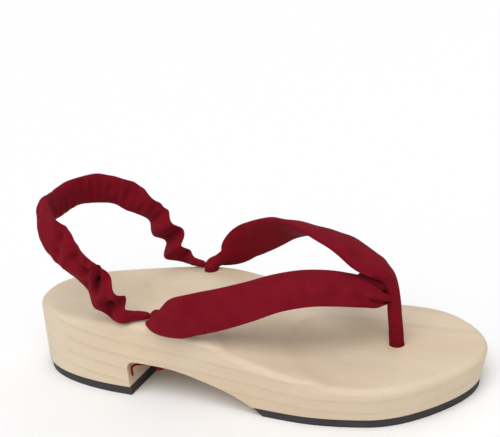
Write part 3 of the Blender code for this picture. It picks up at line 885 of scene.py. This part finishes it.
def cord_end(start, reach):
    """A knot's loose cord end: it leaves the knot level, bends and hangs down."""
    rows = []
    for share in np.linspace(0, 1, CORD_STEPS):
        level = math.sin(min(1.0, share / 0.75) * math.pi / 2)
        drop = TAIL_DROOP * max(0.0, (share - 0.45) / 0.55) ** 1.6
        place = start + Vector((reach.x * level, reach.y * float(smooth(share / 0.7)), -drop))
        rows.append(Section(place, TAIL_WIDTH, TAIL_THICKNESS, Vector((0, 1, 0))))
    return tube("cord_end", swept_rings(rows, CORD_STEPS, KNOT_SIDES))


def tight_knot(name, middle, size):
    """A cord knotted tight: a flattened trefoil."""
    turn = np.linspace(0, 2 * math.pi, KNOT_STEPS + 1)
    path = np.stack([
        np.sin(turn) + 2 * np.sin(2 * turn),
        np.cos(turn) - 2 * np.cos(2 * turn),
        -np.sin(3 * turn),
    ], axis=-1)
    cord = size[2] * KNOT_CORD
    path *= (np.array(size) / 2 - cord) / np.array([3, 3, 1])
    along = np.roll(path[:-1], -1, axis=0) - np.roll(path[:-1], 1, axis=0)
    along = np.vstack([along, along[:1]])
    along /= np.linalg.norm(along, axis=1)[:, None]
    up = np.array([0, 0, 1.0])
    across = np.cross(along, up)
    across /= np.linalg.norm(across, axis=1)[:, None]
    rise = np.cross(across, along)
    angles = np.linspace(0, 2 * math.pi, KNOT_SIDES + 1)
    rings = path[:, None] + cord * (
        across[:, None] * np.cos(angles)[None, :, None] + rise[:, None] * np.sin(angles)[None, :, None]
    )
    mesh = bmesh.new()
    add_grid(mesh, rings + np.array(middle))
    return finished(name, mesh, 1e-7)


def rear_knot(name, side):
    """The knot under a rear hole, with its two loose cord ends."""
    hole = hole_place(False, side)
    middle = Vector((hole.x, hole.y, arch_roof(hole.x) - SEAM_GAP - REAR_KNOT_SIZE[2] / 2))
    made = tight_knot(name, middle, REAR_KNOT_SIZE)
    back = Vector((-TAIL_REACH, side * TAIL_SPREAD, 0))
    front = Vector((FRONT_TAIL_REACH, -side * FRONT_TAIL_SPREAD, 0))
    for reach in (back, front):
        join(made, cord_end(middle, reach))
    return shade(made, 60)


def front_knot(name):
    """The knot in the recess under the front hole."""
    hole = hole_place(True, OUTER)
    middle = Vector((hole.x, hole.y, recess_roof() - SEAM_GAP - FRONT_KNOT_SIZE[2] / 2))
    return shade(tight_knot(name, middle, FRONT_KNOT_SIZE), 60)


# Materials

class Nodes:
    """A short way to write a material's nodes."""

    def __init__(self, name):
        self.material = bpy.data.materials.new(name)
        self.material.use_nodes = True
        self.tree = self.material.node_tree
        self.shader = self.tree.nodes["Principled BSDF"]

    def add(self, kind, **values):
        node = self.tree.nodes.new(kind)
        for key, value in values.items():
            setattr(node, key, value)
        return node

    def link(self, start, end):
        self.tree.links.new(start, end)

    def place(self, scale=(1, 1, 1), turn=(0, 0, 0)):
        """Object coordinates, scaled and turned."""
        coordinates = self.add("ShaderNodeTexCoord")
        mapping = self.add("ShaderNodeMapping")
        mapping.inputs["Scale"].default_value = scale
        mapping.inputs["Rotation"].default_value = [math.radians(angle) for angle in turn]
        self.link(coordinates.outputs["Object"], mapping.inputs["Vector"])
        return mapping.outputs["Vector"]

    def noise(self, vector, scale, detail=3.0, roughness=0.5, distortion=0.0):
        node = self.add("ShaderNodeTexNoise")
        node.inputs["Scale"].default_value = scale
        node.inputs["Detail"].default_value = detail
        node.inputs["Roughness"].default_value = roughness
        node.inputs["Distortion"].default_value = distortion
        self.link(vector, node.inputs["Vector"])
        return node.outputs["Fac"]

    def ramp(self, value, *stops):
        """Grey levels or colours at places along a value."""
        node = self.add("ShaderNodeValToRGB")
        ramp = node.color_ramp
        while len(ramp.elements) < len(stops):
            ramp.elements.new(0.5)
        for element, (place, colour) in zip(ramp.elements, stops):
            element.position = place
            element.color = (colour, colour, colour, 1) if isinstance(colour, (int, float)) else colour
        self.link(value, node.inputs["Fac"])
        return node.outputs["Color"]

    def math(self, operation, first, second=0.0):
        node = self.add("ShaderNodeMath", operation=operation)
        for socket, value in zip(node.inputs, (first, second)):
            if isinstance(value, (int, float)):
                socket.default_value = value
            else:
                self.link(value, socket)
        return node.outputs["Value"]

    def blend(self, factor, first, second):
        node = self.add("ShaderNodeMix", data_type="RGBA")
        for socket, value in ((node.inputs[0], factor), (node.inputs[6], first), (node.inputs[7], second)):
            if isinstance(value, (int, float, tuple, list)):
                socket.default_value = value
            else:
                self.link(value, socket)
        return node.outputs[2]

    def bump(self, height, distance, strength=1.0, below=None):
        node = self.add("ShaderNodeBump")
        node.inputs["Distance"].default_value = distance
        node.inputs["Strength"].default_value = strength
        self.link(height, node.inputs["Height"])
        if below is not None:
            self.link(below, node.inputs["Normal"])
        return node.outputs["Normal"]


def linear(*colour):
    """A colour read as 0 to 255 in sRGB, as the shader's linear values."""
    return tuple(((value / 255 + 0.055) / 1.055) ** 2.4 for value in colour) + (1.0,)


def pale_wood():
    """Plain sanded wood: faint growth rings round a line far below, fine fibres along the sandal."""
    nodes = Nodes("pale_wood")
    tilted = nodes.place(turn=(0, RING_TILT, 0))
    warp = nodes.noise(nodes.place(scale=(0.22, 1, 1)), 16, 2.0)
    parts = nodes.add("ShaderNodeSeparateXYZ")
    nodes.link(tilted, parts.inputs["Vector"])
    depth = nodes.math("ADD", parts.outputs["Z"], RINGS_BELOW)
    depth2 = nodes.math("MULTIPLY", depth, depth)
    side = nodes.math("ADD", parts.outputs["Y"], RINGS_ASIDE)
    side2 = nodes.math("MULTIPLY", side, side)
    reach = nodes.math("SQRT", nodes.math("ADD", depth2, side2))
    reach = nodes.math("ADD", reach, nodes.math("MULTIPLY", warp, RING_WARP))
    ring = nodes.math("FRACT", nodes.math("MULTIPLY", reach, RINGS_PER_METRE))
    line = nodes.ramp(ring, (0.0, 0.0), (0.62, 0.12), (0.90, 1.0), (1.0, 0.0))
    strength = nodes.noise(nodes.place(scale=(0.5, 1, 1)), 40, 2.0)
    line = nodes.math("MULTIPLY", line, nodes.ramp(strength, (0.35, 0.15), (0.7, 1.0)))
    fibre = nodes.noise(nodes.place(scale=(0.04, 1, 1)), 1500, 3.0, 0.6)
    cloud = nodes.noise(nodes.place(scale=(0.4, 1, 1)), 30, 3.0)
    colour = nodes.ramp(cloud, (0.3, linear(222, 207, 184)), (0.7, linear(215, 194, 166)))
    colour = nodes.blend(nodes.math("MULTIPLY", line, 0.30), colour, linear(176, 141, 106))
    colour = nodes.blend(nodes.ramp(fibre, (0.45, 0.0), (0.75, 0.22)), colour, linear(196, 164, 128))
    nodes.link(colour, nodes.shader.inputs["Base Color"])
    nodes.link(nodes.ramp(fibre, (0.3, 0.52), (0.7, 0.66)), nodes.shader.inputs["Roughness"])
    height = nodes.math("ADD", nodes.math("MULTIPLY", fibre, 0.6), nodes.math("MULTIPLY", line, 0.5))
    nodes.link(nodes.bump(height, 0.00015, 0.6), nodes.shader.inputs["Normal"])
    nodes.shader.inputs["Specular IOR Level"].default_value = 0.35
    return nodes.material


def black_rubber():
    """Matt rubber with a fine grain and a little dust."""
    nodes = Nodes("black_rubber")
    grain = nodes.noise(nodes.place(), 2600, 3.0, 0.6)
    dust = nodes.noise(nodes.place(), 90, 4.0, 0.6)
    colour = nodes.ramp(dust, (0.35, linear(38, 34, 37)), (0.75, linear(58, 53, 56)))
    nodes.link(colour, nodes.shader.inputs["Base Color"])
    nodes.link(nodes.ramp(dust, (0.3, 0.58), (0.7, 0.74)), nodes.shader.inputs["Roughness"])
    nodes.link(nodes.bump(grain, 0.0001, 0.5), nodes.shader.inputs["Normal"])
    return nodes.material


def crimson_crepe():
    """Matt crinkled cloth, with painted shade that darkens it deep in its folds."""
    nodes = Nodes("crimson_crepe")
    crinkle = nodes.noise(nodes.place(scale=(1, 1, 0.55)), 1500, 2.5, 0.6, 0.8)
    thread = nodes.noise(nodes.place(), 4200, 2.0, 0.6)
    cloud = nodes.noise(nodes.place(), 130, 3.0, 0.55)
    colour = nodes.ramp(cloud, (0.30, linear(108, 9, 24)), (0.72, linear(122, 14, 31)))
    colour = nodes.blend(nodes.ramp(crinkle, (0.40, 0.0), (0.75, 0.25)), colour, linear(136, 26, 42))
    # Painted shade: ambient occlusion darkens the colour towards a deep red in folds and hollows, where
    # shade falls.
    painted_fold_shade_ao = nodes.add("ShaderNodeAmbientOcclusion", samples=8)
    painted_fold_shade_ao.inputs["Distance"].default_value = 0.006
    deep = nodes.ramp(painted_fold_shade_ao.outputs["AO"], (0.25, 0.75), (0.8, 0.0))
    colour = nodes.blend(deep, colour, linear(58, 2, 8))
    nodes.link(colour, nodes.shader.inputs["Base Color"])
    nodes.link(nodes.ramp(crinkle, (0.3, 0.80), (0.7, 0.92)), nodes.shader.inputs["Roughness"])
    normal = nodes.bump(thread, 0.0001, 0.35)
    nodes.link(nodes.bump(crinkle, 0.0004, 0.5, normal), nodes.shader.inputs["Normal"])
    nodes.shader.inputs["Sheen Weight"].default_value = 0.06
    nodes.shader.inputs["Sheen Roughness"].default_value = 0.5
    nodes.shader.inputs["Sheen Tint"].default_value = linear(220, 120, 130)
    nodes.shader.inputs["Specular IOR Level"].default_value = 0.08
    return nodes.material


# Stage

def camera():
    azimuth, elevation = math.radians(CAMERA_AZIMUTH), math.radians(CAMERA_ELEVATION)
    roll = math.radians(CAMERA_ROLL)
    ahead = Vector((
        -math.sin(azimuth) * math.cos(elevation),
        math.cos(azimuth) * math.cos(elevation),
        -math.sin(elevation),
    ))
    level = Vector((math.cos(azimuth), math.sin(azimuth), 0))
    upright = level.cross(ahead)
    right = level * math.cos(roll) + upright * math.sin(roll)
    up = upright * math.cos(roll) - level * math.sin(roll)
    data = bpy.data.cameras.new("camera")
    data.lens = CAMERA_LENS
    data.sensor_width = CAMERA_SENSOR
    data.clip_start = 0.01
    data.clip_end = 20
    made = bpy.data.objects.new("camera", data)
    made.matrix_world = Matrix.Translation(CAMERA_PLACE) @ Matrix((right, up, -ahead)).transposed().to_4x4()
    bpy.context.scene.collection.objects.link(made)
    bpy.context.scene.camera = made


def floor():
    mesh = bmesh.new()
    bmesh.ops.create_grid(mesh, x_segments=1, y_segments=1, size=6)
    made = finished("floor", mesh)
    nodes = Nodes("pale_floor")
    nodes.shader.inputs["Base Color"].default_value = (0.94, 0.94, 0.945, 1)
    nodes.shader.inputs["Roughness"].default_value = 0.9
    nodes.shader.inputs["Specular IOR Level"].default_value = 0.1
    made.data.materials.append(nodes.material)


def soft_sun(name, azimuth, elevation, spread, power):
    """An even, soft light from far away. Angles in degrees: azimuth from +X towards +Y, spread its size."""
    azimuth, elevation = math.radians(azimuth), math.radians(elevation)
    data = bpy.data.lights.new(name, "SUN")
    data.angle = math.radians(spread)
    data.energy = power
    made = bpy.data.objects.new(name, data)
    made.rotation_mode = "QUATERNION"
    level = math.cos(elevation)
    source = Vector((level * math.cos(azimuth), level * math.sin(azimuth), math.sin(elevation)))
    made.rotation_quaternion = source.to_track_quat("Z", "Y")
    bpy.context.scene.collection.objects.link(made)


def lights():
    soft_sun("key", azimuth=-75, elevation=58, spread=50, power=1.9)
    soft_sun("fill", azimuth=-140, elevation=30, spread=60, power=0.35)
    soft_sun("back", azimuth=80, elevation=45, spread=50, power=0.45)
    world = bpy.data.worlds.new("studio")
    world.use_nodes = True
    world.node_tree.nodes["Background"].inputs["Color"].default_value = (1, 1, 1, 1)
    world.node_tree.nodes["Background"].inputs["Strength"].default_value = 0.40
    bpy.context.scene.world = world
    bpy.context.scene.view_settings.view_transform = "Standard"


def dress(made, node, material):
    made.data.materials.clear()
    made.data.materials.append(material)
    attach(made, "root")
    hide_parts(node)
    return made


def main():
    camera()
    floor()
    lights()
    wood, rubber, crepe = pale_wood(), black_rubber(), crimson_crepe()
    dress(wooden_base(), "wooden_base", wood)
    dress(heel_tread(), "heel_rubber", rubber)
    dress(forefoot_tread(), "forefoot_rubber", rubber)
    dress(padded_strap(), "v_strap", crepe)
    dress(gathered_band(), "back_band", crepe)
    dress(rear_knot("outer_knot", OUTER), "outer_rear_knot", crepe)
    dress(rear_knot("inner_knot", INNER), "inner_rear_knot", crepe)
    dress(front_knot("toe_knot"), "front_knot", crepe)


main()
